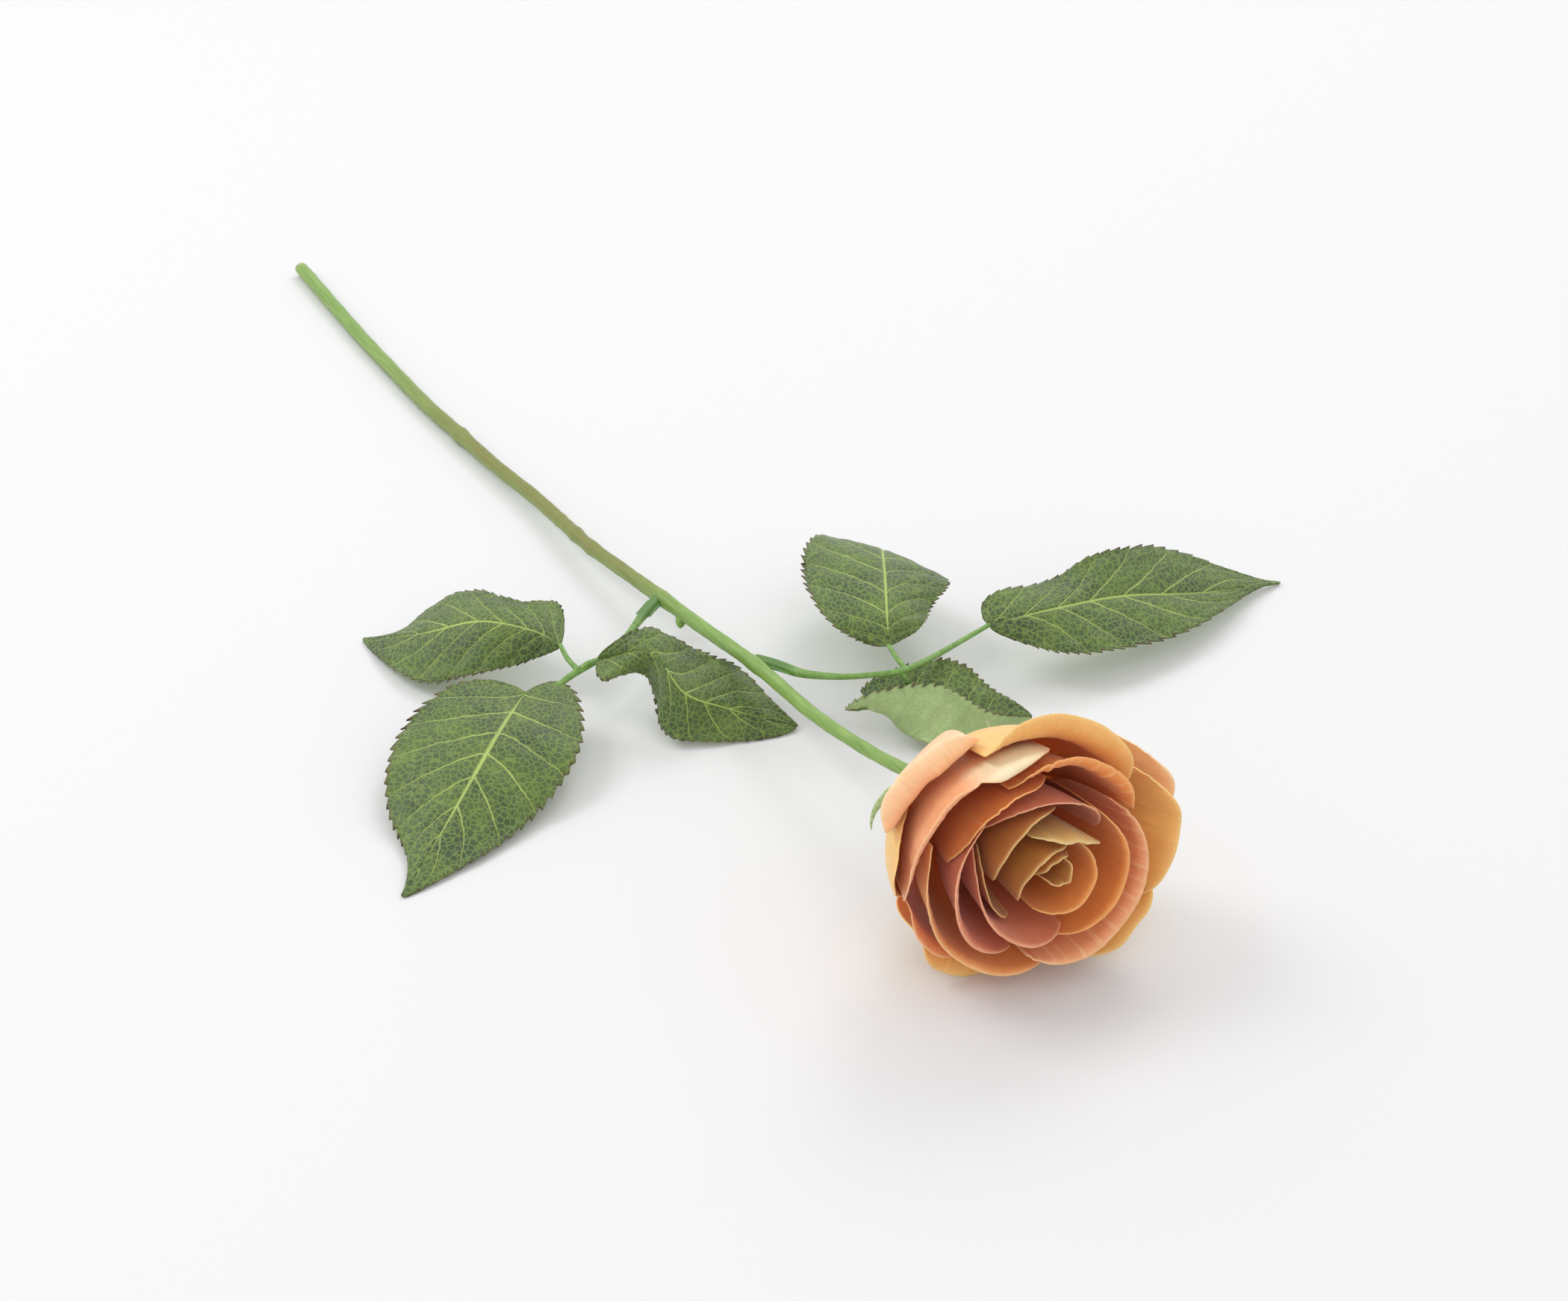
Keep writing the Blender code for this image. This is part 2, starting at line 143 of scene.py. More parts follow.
def grid_faces(rows, columns, closed, start=0):
    """Faces between neighbouring rows and columns; closed joins the last column to the first."""
    row = np.arange(rows - 1)[:, None]
    column = np.arange(columns if closed else columns - 1)[None]
    after = (column + 1) % columns
    low = row * columns
    high = low + columns
    corners = np.stack([low + column, low + after, high + after, high + column], axis=-1)
    return corners.reshape(-1, 4) + start


def mesh_piece(name, points, faces, patterns=None, maps=None, materials=()):
    """A smooth-shaded object of these points and faces, with named values and maps on its surface."""
    mesh = bpy.data.meshes.new(name)
    mesh.from_pydata(points.reshape(-1, 3).tolist(), [], faces)
    mesh.polygons.foreach_set("use_smooth", np.ones(len(mesh.polygons), bool))
    corner = np.empty(len(mesh.loops), np.int32)
    mesh.loops.foreach_get("vertex_index", corner)
    for map_name, values in (maps or {}).items():
        layer = mesh.uv_layers.new(name=map_name)
        layer.data.foreach_set("uv", values.reshape(-1, 2)[corner].ravel())
    for pattern, values in (patterns or {}).items():
        if values.size == points.size:
            layer = mesh.color_attributes.new(pattern, "FLOAT_COLOR", "POINT")
            solid = np.ones((len(mesh.vertices), 4))
            solid[:, :3] = values.reshape(-1, 3)
            layer.data.foreach_set("color", solid.ravel())
        else:
            layer = mesh.attributes.new(pattern, "FLOAT", "POINT")
            layer.data.foreach_set("value", np.ascontiguousarray(values, float).ravel())
    for material in materials:
        mesh.materials.append(material)
    mesh.update()
    piece = bpy.data.objects.new(name, mesh)
    bpy.context.scene.collection.objects.link(piece)
    return piece


def face_out(piece):
    """Turns the faces of closed shells outwards."""
    form = bmesh.new()
    form.from_mesh(piece.data)
    bmesh.ops.remove_doubles(form, verts=form.verts, dist=1e-7)
    bmesh.ops.recalc_face_normals(form, faces=form.faces)
    form.to_mesh(piece.data)
    form.free()


def stands_for(piece, node):
    """The piece rides on the rose's one body and takes the place of the plain solid of that name."""
    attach(piece, "root")
    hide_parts(node)


def rods(name, parts, patterns_of, material):
    """One object made of closed rods; each part is (route, radii, sides, flatness)."""
    points = []
    faces = []
    start = 0
    for route, radii, sides, flatness in parts:
        rings = rod_grid(route, radii, sides, flatness)
        rows = len(rings)
        points.append(np.concatenate([rings.reshape(-1, 3), route[:1], route[-1:]]))
        faces += grid_faces(rows, sides, True, start).tolist()
        foot = start + rows * sides
        for first, centre in ((start, foot), (foot - sides, foot + 1)):
            faces += [(first + k, first + (k + 1) % sides, centre) for k in range(sides)]
        start = foot + 2
    points = np.concatenate(points)
    piece = mesh_piece(name, metres(points), faces, patterns_of(points), None, [material])
    face_out(piece)
    return piece


def new_finish(name, **settings):
    """A material whose shader holds these fixed settings; returns it, its shader and its nodes."""
    material = bpy.data.materials.new(name)
    material.use_nodes = True
    tree = material.node_tree
    shader = tree.nodes["Principled BSDF"]
    for setting, value in settings.items():
        shader.inputs[setting.replace("_", " ")].default_value = value
    return material, shader, tree


def add_node(tree, kind, settings=None, **inputs):
    """A node with these properties set, and these inputs given a value or linked to an output."""
    node = tree.nodes.new(kind)
    for key, value in (settings or {}).items():
        setattr(node, key, value)
    for key, value in inputs.items():
        socket = node.inputs[key.replace("_", " ")]
        if isinstance(value, bpy.types.NodeSocket):
            tree.links.new(value, socket)
        else:
            socket.default_value = value
    return node


def ramp(tree, factor, *stops):
    """A colour ramp through (place, colour) stops."""
    node = add_node(tree, "ShaderNodeValToRGB", None, Fac=factor)
    elements = node.color_ramp.elements
    while len(elements) < len(stops):
        elements.new(0.5)
    for element, (place, colour) in zip(elements, stops):
        element.position = place
        element.color = (*colour, 1.0)
    return node.outputs["Color"]


def mix(tree, factor, one, other, blend="MIX"):
    """Two colours mixed by a factor."""
    node = add_node(tree, "ShaderNodeMix", {"data_type": "RGBA", "blend_type": blend})
    for index, value in ((0, factor), (6, one), (7, other)):
        if isinstance(value, bpy.types.NodeSocket):
            tree.links.new(value, node.inputs[index])
        elif index == 0:
            node.inputs[index].default_value = value
        else:
            node.inputs[index].default_value = (*value, 1.0)
    return node.outputs[2]


def maths(tree, operation, one, two=0.5, three=0.5, clamp=False):
    """One step of arithmetic on values."""
    node = add_node(tree, "ShaderNodeMath", {"operation": operation, "use_clamp": clamp})
    for index, value in enumerate((one, two, three)):
        if isinstance(value, bpy.types.NodeSocket):
            tree.links.new(value, node.inputs[index])
        else:
            node.inputs[index].default_value = value
    return node.outputs[0]


def place_of(tree, scale=(1.0, 1.0, 1.0)):
    """The point on the piece, in metres, stretched by a scale."""
    spot = add_node(tree, "ShaderNodeTexCoord").outputs["Object"]
    return add_node(tree, "ShaderNodeMapping", None, Vector=spot, Scale=scale).outputs["Vector"]


def noise(tree, vector, scale, detail=3.0):
    """Cloudy noise from 0 to 1."""
    node = add_node(tree, "ShaderNodeTexNoise", None, Vector=vector, Scale=scale, Detail=detail)
    return node.outputs["Fac"]


def value_of(tree, pattern, output="Fac"):
    """A named value or colour that was worked out on the surface."""
    return add_node(tree, "ShaderNodeAttribute", {"attribute_name": pattern}).outputs[output]


def relief(tree, shader, height, strength, distance):
    """Feeds a height to the shader as a bump."""
    node = add_node(tree, "ShaderNodeBump", None, Height=height, Strength=strength, Distance=distance)
    tree.links.new(node.outputs["Normal"], shader.inputs["Normal"])


STEM_GREEN = linear(106, 142, 62)
STEM_LIGHT = linear(142, 172, 92)
STEM_BROWN = linear(124, 120, 62)
STEM_PITH = linear(188, 196, 140)

stem_finish, shader, tree = new_finish("stem_satin", Roughness=0.42, Specular_IOR_Level=0.45)
streaks = noise(tree, place_of(tree, (1.0, 0.06, 1.0)), 900.0)
blotches = noise(tree, place_of(tree, (1.0, 0.35, 1.0)), 120.0)
green = ramp(tree, streaks, (0.25, STEM_GREEN), (0.75, STEM_LIGHT))
sprayed = maths(tree, "MULTIPLY", value_of(tree, "sprayed"), maths(tree, "ADD", blotches, 0.35))
browned = mix(tree, maths(tree, "MINIMUM", sprayed, 0.85), green, STEM_BROWN)
cut = mix(tree, value_of(tree, "cut_face"), browned, STEM_PITH)
tree.links.new(cut, shader.inputs["Base Color"])
relief(tree, shader, maths(tree, "ADD", streaks, blotches), 0.35, 0.0003)


def stem_patterns(points):
    """Brown spray on the top of the middle of the rod, and 1 on the cut end's flat face."""
    y = points[:, 1]
    middle = smooth_step(196.0, 240.0, y) * (1 - smooth_step(330.0, 470.0, y))
    centre_height = np.interp(y, STEM_ROUTE[::-1, 1], STEM_ROUTE[::-1, 2])
    top = smooth_step(-1.2, 2.2, points[:, 2] - centre_height)
    return {"sprayed": middle * (0.35 + 0.65 * top), "cut_face": smooth_step(522.6, 523.0, y)}


def stem_rods():
    """The rod and the bud stub, each as a route and its radii.

    The rod's radius swells by a bell at each joint, and five shallow ridges run along it. Its cut
    end is rounded over, and the route is raised where the rod would sink into the table.
    """
    fine = along(STEM_ROUTE, np.linspace(0.0, 1.0, STEM_RINGS))
    radii = fine[:, 3].copy()
    for y, swell, reach in STEM_JOINTS + LEAF_JOINTS:
        radii += swell * bump_at(y, reach, fine[:, 1])
    radii += 0.05 * np.sin(fine[:, 1] * 0.37) + 0.03 * np.sin(fine[:, 1] * 1.13)
    turn = np.linspace(0.0, 2 * np.pi, STEM_SIDES, endpoint=False)
    ridges = STEM_RIDGE_SHARE * np.cos(STEM_RIDGES * turn + fine[:, 1:2] * 0.01)
    ridged = radii[:, None] * (1 + ridges)
    route = fine[:, :3]
    route[:, 2] = np.maximum(route[:, 2], ridged.max(axis=1) + STEM_LIFT)
    route = np.concatenate([np.repeat(route[:1], 3, axis=0), route])
    route[:3, 1] += np.array([0.03, 0.02, 0.01])
    ridged = np.concatenate([np.array([[0.5], [0.96], [1.0]]) * ridged[:1], ridged])
    bud = along(BUD_ROUTE, np.linspace(0.0, 1.0, BUD_RINGS))
    rounded = bud[:, 3] * np.sqrt(1 - np.linspace(0.0, 0.98, BUD_RINGS) ** 4)
    return [(route, ridged, STEM_SIDES, 1.0), (bud[:, :3], rounded, BUD_SIDES, 1.0)]


stem = rods("rose_stem", stem_rods(), stem_patterns, stem_finish)
stands_for(stem, "stem")


# ---------------------------------------------------------------------------------------------
# Leaf stalks. Each is one moulded rib that leaves the stem in a darker sleeve with small spiky
# wings, carries the end leaflet, and has a short side rib for each of its two other leaflets.
# ---------------------------------------------------------------------------------------------

# x, y, z and radius along each rib, then the two side ribs.
STALK_ROUTES = {
    "leaf_stalk_left": (
        [
            (-6.6, 213.4, 12.5, 2.0),
            (-10.5, 210.4, 12.9, 1.9),
            (-18.0, 204.5, 13.4, 1.5),
            (-26.0, 197.5, 14.2, 1.1),
            (-35.0, 191.0, 15.2, 1.0),
            (-44.0, 186.0, 16.0, 1.0),
            (-53.0, 183.0, 16.4, 1.2),
            (-62.0, 181.0, 15.1, 0.95),
            (-72.2, 181.0, 15.8, 0.8),
        ],
        [(-52.0, 183.0, 17.0, 1.0), (-52.2, 190.0, 17.8, 0.85), (-50.6, 198.2, 18.0, 0.7)],
        [(-51.0, 183.6, 16.9, 1.0), (-47.8, 184.4, 17.5, 0.85), (-44.4, 183.4, 18.5, 0.7)],
    ),
    "leaf_stalk_right": (
        [
            (-1.2, 157.5, 18.2, 2.0),
            (2.0, 150.5, 19.1, 1.9),
            (6.0, 141.0, 19.9, 1.5),
            (14.0, 132.5, 20.8, 1.1),
            (22.5, 127.5, 21.3, 1.0),
            (31.0, 124.2, 21.6, 1.1),
            (39.0, 124.6, 21.4, 1.1),
            (54.0, 129.0, 20.5, 0.95),
            (72.4, 134.3, 20.0, 0.8),
        ],
        [(34.0, 124.2, 21.5, 1.0), (34.6, 130.5, 21.8, 0.85), (35.9, 137.8, 22.5, 0.7)],
        [(31.5, 124.1, 21.4, 1.0), (33.2, 122.2, 18.4, 0.85), (33.5, 122.9, 14.3, 0.7)],
    ),
}
STALK_GREEN = linear(92, 132, 56)
STALK_LIGHT = linear(130, 166, 86)
SLEEVE_GREEN = linear(84, 122, 54)
SLEEVE_LENGTH = 15.0
STALK_RINGS = 130
STALK_SIDES = 20
SIDE_RIB_RINGS = 30
SIDE_RIB_SIDES = 16
# Share of the rib that the wings run along, then how far they stand off it, spread and reach ahead.
WING_SHARE = 0.20
WING_STAND = 1.1
WING_SPREAD = 1.3
WING_AHEAD = 1.5
WING_WIDTH = 1.5
WING_SIDES = 12
WING_FLATNESS = 0.35

stalk_finish, shader, tree = new_finish("stalk_satin", Roughness=0.45, Specular_IOR_Level=0.45)
streaks = noise(tree, place_of(tree, (1.0, 0.5, 1.0)), 700.0)
green = ramp(tree, streaks, (0.3, STALK_GREEN), (0.75, STALK_LIGHT))
tree.links.new(mix(tree, value_of(tree, "sleeve"), green, SLEEVE_GREEN), shader.inputs["Base Color"])
relief(tree, shader, streaks, 0.3, 0.0003)


def sleeve_wings(rib):
    """Two flat pointed wings, one each side of the rib's first stretch, whose tips stand away."""
    share = np.linspace(0.0, 1.0, 24)
    spine = along(rib, share * WING_SHARE)[:, :3]
    ahead = np.gradient(spine, axis=0)
    ahead /= np.linalg.norm(ahead, axis=1, keepdims=True)
    across = np.cross(ahead, (0.0, 0.0, 1.0))
    stand = WING_STAND + WING_SPREAD * share**3
    width = WING_WIDTH * np.sin(np.pi * np.clip(share * 0.75 + 0.22, 0.0, 1.0)) ** 0.8
    wings = []
    for side in (-1.0, 1.0):
        route = spine + across * (side * stand)[:, None] + ahead * (WING_AHEAD * share**2)[:, None]
        wings.append((route, np.maximum(width, 0.05), WING_SIDES, WING_FLATNESS))
    return wings


def sleeve_fade(start):
    """The sleeve's darker green, which fades out along the rib."""

    def patterns(points):
        away = np.linalg.norm(points - start, axis=1)
        return {"sleeve": 1 - smooth_step(SLEEVE_LENGTH * 0.75, SLEEVE_LENGTH * 1.2, away)}

    return patterns


for node, (rib, *side_ribs) in STALK_ROUTES.items():
    fine = along(rib, np.linspace(0.0, 1.0, STALK_RINGS))
    parts = [(fine[:, :3], fine[:, 3], STALK_SIDES, 0.92)]
    for side_rib in side_ribs:
        fine = along(side_rib, np.linspace(0.0, 1.0, SIDE_RIB_RINGS))
        parts.append((fine[:, :3], fine[:, 3], SIDE_RIB_SIDES, 0.9))
    parts += sleeve_wings(rib)
    side = node.replace("leaf_stalk_", "")
    piece = rods(f"{side}_leaf_stalk", parts, sleeve_fade(np.array(rib[0][:3])), stalk_finish)
    stands_for(piece, node)


# ---------------------------------------------------------------------------------------------
# Leaflets. Six cloth blades pressed with a midrib, side veins and a fine net, dark green above and
# paler below, with sharp teeth that point forward and are tipped dark red, glued to their ribs.
# ---------------------------------------------------------------------------------------------

# The midrib, then the reach from it to the left and to the right edge in even steps from foot to
# tip, how strongly the margin waves, and where along the blade the waves start.
Blade = namedtuple("Blade", "midrib left right wave phase")
BLADES = {
    "leaflet_left_terminal": Blade(
        [(-71.9, 181, 16.5), (-89, 165, 17), (-104, 153, 13), (-122, 140, 6), (-142, 125, 0.6)],
        [(-6, 38, -1), (-16, 29, -3), (-18, 14, -5), (3, 4, -2)],
        [(39, 15, -2), (28, -7, -4), (18, -14, -7), (8, -14, -4)],
        0.8,
        0.3,
    ),
    "leaflet_left_back": Blade(
        [(-50.3, 198, 18), (-58, 206, 22), (-69, 220, 21), (-83, 236, 12), (-93, 259, 0.8)],
        [(0, -2, -6), (-6, -5, -12), (-13, -15, -12), (-13, -13, -9)],
        [(24, 29, 5), (10, 10, -1), (14, 18, 1), (8, -4, -4)],
        1.0,
        1.4,
    ),
    "leaflet_left_front": Blade(
        [(-44.4, 183.4, 18.5), (-34, 168, 26), (-30, 153, 18), (-16, 150, 9), (3, 140, 1.2)],
        [(1, 2, 8), (7, 13, 2), (22, 21, -1), (12, -1, 2)],
        [(-20, -20, -5), (0, 10, -10), (-15, 0, -11), (-15, -14, -9)],
        1.0,
        2.2,
    ),
    "leaflet_right_terminal": Blade(
        [(72.3, 134.2, 20), (95, 129, 22), (122, 129, 18), (154, 127, 10), (190, 130, 0.8)],
        [(-6, 24, 8), (3, 15, 2), (3, 15, 8), (4, 22, 10), (1, 13, -3)],
        [(1, -9, -10), (-7, -16, -9), (-3, -17, -6), (11, 6, -4)],
        0.8,
        0.9,
    ),
    "leaflet_right_back": Blade(
        [(36, 137.6, 22.6), (40, 145, 29), (50, 162, 32), (60, 179, 29), (70, 192, 17)],
        [(-11, 4, -5), (-21, 17, -4), (-19, 43, -2)],
        [(12, 0, -4), (14, -11, -8), (25, -46, -9)],
        0.8,
        3.1,
    ),
    "leaflet_right_front": Blade(
        [(33.5, 123, 14), (26, 118, 8), (32, 105, 5), (46, 97, 5), (64, 97, 8)],
        [(-20, 13, -4), (17, 23, 13), (10, 24, 12)],
        [(-37, 0, 1), (4, 10, 16), (-13, -4, 18)],
        0.6,
        0.0,
    ),
}
BLADE_ROWS = 240
BLADE_COLUMNS = 73
BLADE_THICK = 0.45
TEETH = 26
TOOTH_LEAN = 0.35
TOOTH_DEPTH = 0.075
TOOTH_SHARPNESS = 16
BLADE_ARCH = 1.2
QUILT_HEIGHT = 0.55
CRUMPLE_HEIGHT = 0.25
MIDRIB_GROOVE = 0.5
MARGIN_WAVES = 2.3
VEIN_PAIRS = 8.0
VEIN_SLANT = 0.30
VEIN_BEND = 0.09
TABLE_CLEARANCE = 0.35

LEAF_DARK = linear(52, 72, 38)
LEAF_GREEN = linear(84, 106, 46)
LEAF_VEIN = linear(172, 192, 98)
LEAF_NET = linear(136, 160, 68)
LEAF_TIP_RED = linear(92, 44, 36)
LEAF_UNDER = linear(140, 164, 108)
LEAF_UNDER_VEIN = linear(168, 190, 130)


def blade_grid(blade):
    """A blade: the midrib, plus the reach to the edge times the outline and the place across.

    The outline is a blunt foot and a long point. Teeth are a saw wave that pushes the last part of
    the blade out and forward. Between side veins the surface bulges, and the margin waves.
    """
    v = np.linspace(0.0, 1.0, BLADE_ROWS)[:, None]
    u = np.linspace(-1.0, 1.0, BLADE_COLUMNS)[None]
    u = u * (1.5 - 0.5 * u**2)
    away = np.abs(u)
    saw = (v * TEETH + np.where(u < 0, 0.0, 0.4)) % 1.0
    rim = away**TOOTH_SHARPNESS
    forward = np.clip(v + rim * TOOTH_LEAN / TEETH * saw, 0.0, 1.0)
    outline = 0.03 + 0.97 * np.clip(np.sin(np.pi * forward**0.8), 0.0, 1.0) ** 0.75
    reach = np.where((u < 0)[..., None], along(blade.left, forward), along(blade.right, forward))
    width = away * outline * (1 + TOOTH_DEPTH * (saw - 0.5) * rim)
    points = along(blade.midrib, forward) + reach * width[..., None]
    points[..., 2] += BLADE_ARCH * away * (1 - away) * outline
    normal = np.cross(np.gradient(points, axis=1), np.gradient(points, axis=0))
    normal /= np.linalg.norm(normal, axis=-1, keepdims=True) + 1e-12
    normal *= np.sign(normal[:, : BLADE_COLUMNS // 2, 2].mean())
    between = VEIN_PAIRS * (v - VEIN_SLANT * away + VEIN_BEND * away**2)
    quilt = np.abs(np.sin(np.pi * between)) ** 0.7 * np.clip(away * 3, 0.0, 1.0) * outline
    wave = np.sin(2 * np.pi * MARGIN_WAVES * v + blade.phase + np.where(u < 0, 0.0, 1.9)) * away**2.5
    crumple = np.sin(19 * v + 7 * u + blade.phase) * np.sin(11 * u - 5 * v + 2 * blade.phase)
    height = QUILT_HEIGHT * quilt + blade.wave * wave * outline - MIDRIB_GROOVE * bump_at(0.0, 0.05, away)
    points += normal * (height + CRUMPLE_HEIGHT * crumple * away)[..., None]
    points[..., 2] = np.maximum(points[..., 2], TABLE_CLEARANCE)
    return points, normal, np.stack([u * 0.5 + 0.5 + 0 * v, v + 0 * u], axis=-1)


def vein_group():
    """Masks on a blade's own map: main veins, how dark the net is, and the red tooth tips.

    A side vein runs where pairs times (along minus slant times across plus bend times across
    squared) is a whole number, and it thins towards the edge.
    """
    group = bpy.data.node_groups.new("leaf_veins", "ShaderNodeTree")
    for name in ("Veins", "Net", "Tips"):
        group.interface.new_socket(name, in_out="OUTPUT", socket_type="NodeSocketFloat")
    end = group.nodes.new("NodeGroupOutput")
    blade_map = add_node(group, "ShaderNodeUVMap", {"uv_map": "blade"}).outputs["UV"]
    parts = add_node(group, "ShaderNodeSeparateXYZ", None, Vector=blade_map)
    lengthwise = parts.outputs["Y"]
    wander = noise(group, place_of(group), 160.0, 2.0)
    across = maths(group, "MULTIPLY_ADD", parts.outputs["X"], 2.0, -1.0)
    across = maths(group, "ABSOLUTE", across)
    swayed = maths(group, "MULTIPLY_ADD", wander, 0.022, lengthwise)
    slanted = maths(group, "MULTIPLY_ADD", across, -VEIN_SLANT, swayed)
    square = maths(group, "MULTIPLY", across, across)
    bent = maths(group, "MULTIPLY_ADD", square, VEIN_BEND, slanted)
    turn = maths(group, "FRACT", maths(group, "MULTIPLY_ADD", bent, VEIN_PAIRS, 0.42))
    off = maths(group, "ABSOLUTE", maths(group, "SUBTRACT", turn, 0.5))
    wide = maths(group, "MULTIPLY_ADD", across, -0.05, 0.06)
    side = maths(group, "SUBTRACT", 1.0, maths(group, "DIVIDE", off, wide), clamp=True)
    rib_wide = maths(group, "MULTIPLY_ADD", lengthwise, -0.018, 0.036)
    rib = maths(group, "SUBTRACT", 1.25, maths(group, "DIVIDE", across, rib_wide), clamp=True)
    group.links.new(maths(group, "MAXIMUM", rib, side), end.inputs["Veins"])
    edges = {"feature": "DISTANCE_TO_EDGE"}
    cells = add_node(group, "ShaderNodeTexVoronoi", edges, Vector=place_of(group), Scale=520.0)
    thick = maths(group, "MULTIPLY", cells.outputs["Distance"], 7.0)
    group.links.new(maths(group, "SUBTRACT", 1.0, thick, clamp=True), end.inputs["Net"])
    near_rim = maths(group, "MULTIPLY_ADD", across, 28.0, -27.1, clamp=True)
    tooth = maths(group, "FRACT", maths(group, "MULTIPLY", lengthwise, float(TEETH)))
    tips = maths(group, "MULTIPLY", near_rim, maths(group, "ADD", tooth, 0.25))
    group.links.new(tips, end.inputs["Tips"])
    return group


veins = vein_group()


def leaf_finish(name, low, high, vein, net, net_share, roughness, red):
    """Blade cloth: cloudy green, a pale net, paler veins, and dark red tooth tips."""
    material, shader, tree = new_finish(
        name, Specular_IOR_Level=0.4, Subsurface_Weight=0.08, Subsurface_Scale=0.001, Sheen_Weight=0.12
    )
    marks = add_node(tree, "ShaderNodeGroup", {"node_tree": veins}).outputs
    cloud = noise(tree, place_of(tree), 70.0)
    green = ramp(tree, cloud, (0.3, low), (0.7, high))
    netted = mix(tree, maths(tree, "MULTIPLY", marks["Net"], net_share), green, net)
    patches = maths(tree, "ADD", cloud, 0.42, clamp=True)
    veined = mix(tree, maths(tree, "MULTIPLY", marks["Veins"], patches), netted, vein)
    tipped = mix(tree, maths(tree, "MULTIPLY", marks["Tips"], red), veined, LEAF_TIP_RED)
    tree.links.new(tipped, shader.inputs["Base Color"])
    rough = maths(tree, "MULTIPLY_ADD", cloud, 0.18, roughness - 0.09)
    tree.links.new(rough, shader.inputs["Roughness"])
    grooves = maths(tree, "MULTIPLY_ADD", marks["Net"], -0.5, maths(tree, "MULTIPLY", marks["Veins"], -1.0))
    weave = noise(tree, place_of(tree), 2600.0, 1.0)
    relief(tree, shader, maths(tree, "MULTIPLY_ADD", weave, 0.3, grooves), 0.5, 0.0003)
    return material


leaf_top = leaf_finish("leaf_upper", LEAF_DARK, LEAF_GREEN, LEAF_VEIN, LEAF_NET, 0.5, 0.48, 0.8)
leaf_under = leaf_finish("leaf_under", LEAF_UNDER, LEAF_UNDER_VEIN, LEAF_UNDER_VEIN, LEAF_DARK, 0.1, 0.6, 0.7)


def thickened(piece, thick):
    """Gives an open sheet its wall, half to each side, with the second material on the far side."""
    wall = piece.modifiers.new("wall", "SOLIDIFY")
    wall.thickness = thick * MM
    wall.offset = 0.0
    wall.material_offset = 1
    wall.material_offset_rim = 0


for node, blade in BLADES.items():
    points, normal, spots = blade_grid(blade)
    faces = grid_faces(BLADE_ROWS, BLADE_COLUMNS, False)
    row = BLADE_ROWS // 2
    column = BLADE_COLUMNS // 4
    across = points[row, column + 1] - points[row, column]
    onward = points[row + 1, column] - points[row, column]
    if np.cross(across, onward) @ normal[row, column] < 0:
        faces = faces[:, ::-1]
    side, part = node.replace("leaflet_", "").split("_")
    name = f"{side}_{part}_leaflet"
    piece = mesh_piece(name, metres(points), faces.tolist(), None, {"blade": spots}, [leaf_top, leaf_under])
    thickened(piece, BLADE_THICK)
    stands_for(piece, node)


# ---------------------------------------------------------------------------------------------
# Calyx. A moulded hip on the end of the stem, a turned shape with soft ribs, carries five pointed
# sepals that bend back and away from the bloom, pale and downy along their margins.
# ---------------------------------------------------------------------------------------------

NECK = np.array([0.0, 45.0, 33.0])
AXIS_UP = np.radians(9.0)
AXIS_SIDE = np.radians(3.5)
FLOWER_TURN = np.radians(2.2)
FLOWER_AXIS = np.array(
    [-np.sin(AXIS_SIDE) * np.cos(AXIS_UP), -np.cos(AXIS_SIDE) * np.cos(AXIS_UP), np.sin(AXIS_UP)]
)
FLOWER_RIGHT = np.array([np.cos(AXIS_SIDE), -np.sin(AXIS_SIDE), 0.0])
FLOWER_TOP = np.cross(FLOWER_AXIS, FLOWER_RIGHT)

# Radius and height along the flower's axis.
HIP_PROFILE = [
    (2.1, -13.2),
    (2.4, -12.0),
    (3.2, -10.5),
    (4.3, -7.6),
    (4.7, -4.8),
    (4.1, -2.6),
    (5.6, -1.6),
    (5.5, -0.2),
]
HIP_RINGS = 60
HIP_SIDES = 60

# Azimuth, how far the foot leans out, half width, length, how far it bends back, how far round the
# flower it swings to its tip, and its twist.
Sepal = namedtuple("Sepal", "azimuth lean half_width length bend swing twist")
SEPALS = {
    "sepal_1": Sepal(150, 115, 3.4, 23, 22, 58, 0.2),
    "sepal_2": Sepal(78, 105, 3.2, 15, 50, 24, -0.3),
    "sepal_3": Sepal(6, 80, 3.2, 20, 50, 40, 0.25),
    "sepal_4": Sepal(294, 80, 3.2, 20, 60, 0, -0.2),
    "sepal_5": Sepal(222, 80, 3.2, 18, 70, 0, 0.2),
}
SEPAL_FOOT = (4.6, -3.2)
SEPAL_THICK = 0.5
CALYX_GREEN = linear(96, 134, 66)
CALYX_LIGHT = linear(142, 172, 104)
CALYX_DOWN = linear(192, 206, 160)


def in_flower(radius, azimuth, height):
    """Drawing points from radius, azimuth and height in the flower's own round frame."""
    turn = azimuth + FLOWER_TURN
    flat = (radius * np.cos(turn))[..., None] * FLOWER_RIGHT + (radius * np.sin(turn))[..., None] * FLOWER_TOP
    return NECK + flat + height[..., None] * FLOWER_AXIS


def calyx_finish(name, low, high):
    """Green with fine streaks, lighter and downy along the margins."""
    material, shader, tree = new_finish(name, Roughness=0.6, Specular_IOR_Level=0.35, Sheen_Weight=0.25)
    streaks = noise(tree, place_of(tree), 900.0)
    green = ramp(tree, streaks, (0.3, low), (0.75, high))
    tree.links.new(mix(tree, value_of(tree, "margin"), green, CALYX_DOWN), shader.inputs["Base Color"])
    relief(tree, shader, streaks, 0.5, 0.0004)
    return material


calyx_out = calyx_finish("calyx_outside", CALYX_GREEN, CALYX_LIGHT)
calyx_in = calyx_finish("calyx_inside", CALYX_LIGHT, CALYX_DOWN)


